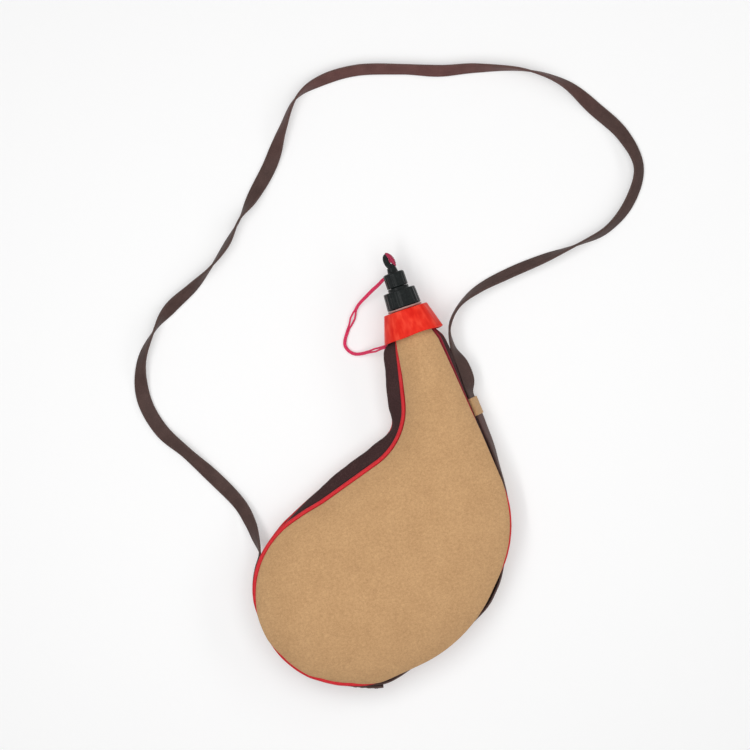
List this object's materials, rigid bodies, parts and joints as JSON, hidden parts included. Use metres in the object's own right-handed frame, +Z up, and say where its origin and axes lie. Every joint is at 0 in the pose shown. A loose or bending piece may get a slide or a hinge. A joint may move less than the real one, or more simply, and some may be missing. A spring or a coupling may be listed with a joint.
{
  "type": "bota bag",
  "caption": "Curved suede bota bag with piped rim, hollow lining, screw filling ring, screw stopper on a tether and a long shoulder strap.",
  "frame": {"origin": "on the flat of the back panel, under the middle of the belly", "axes": "+Y along the nozzle towards its tip, +X to the right of the nozzle seen from the front, +Z up out of the front panel"},
  "size_m": [0.3828, 0.4121, 0.0413],
  "materials": {
    "suede": "napped",
    "red_piping": "satin",
    "brown_band": "matte",
    "bladder_film": "satin",
    "black_plastic": "satin",
    "red_plastic": "gloss",
    "pale_plastic": "matte",
    "gasket_rubber": "matte",
    "clamp_steel": "satin",
    "red_cord": "satin",
    "brown_strap": "satin",
    "brown_thread": "matte"
  },
  "bodies": {
    "bag": {"front_panel": "suede", "back_panel": "suede", "strap_loop": "suede", "front_piping": "red_piping", "back_piping": "red_piping", "gusset_band": "brown_band", "bladder": "bladder_film", "spout": "black_plastic", "neck_clamp": "clamp_steel", "collar": "red_plastic", "collar_washer": "pale_plastic", "tether": "red_cord", "tether_anchor": "red_cord", "strap_free": "brown_strap", "strap_rim": "brown_strap", "strap_lap": "brown_strap", "lap_thread": "brown_thread"},
    "ring_lift": {"fill_gasket": "gasket_rubber"},
    "ring": {"fill_ring": "black_plastic"},
    "stopper_lift": {"stopper_liner": "pale_plastic"},
    "stopper": {"stopper": "black_plastic", "tether_hitch": "red_cord"}
  },
  "joints": [
    {"name": "ring_rise", "type": "slide", "parent": "bag", "child": "ring_lift", "axis": [0, 1, 0], "range_m": [0, 0.0076]},
    {"name": "ring_turn", "type": "hinge", "parent": "ring_lift", "child": "ring", "pos_m": [0.065, 0.169, 0.021], "axis": [0, 1, 0], "range_deg": [0, 1080]},
    {"name": "stopper_rise", "type": "slide", "parent": "ring", "child": "stopper_lift", "axis": [0, 1, 0], "range_m": [0, 0.0076]},
    {"name": "stopper_turn", "type": "hinge", "parent": "stopper_lift", "child": "stopper", "pos_m": [0.065, 0.183, 0.021], "axis": [0, 1, 0], "range_deg": [0, 1080]}
  ],
  "couplings": [
    {"joint": "ring_rise", "follows": "ring_turn", "m_per_rad": 0.00039789},
    {"joint": "stopper_rise", "follows": "stopper_turn", "m_per_rad": 0.00039789}
  ]
}
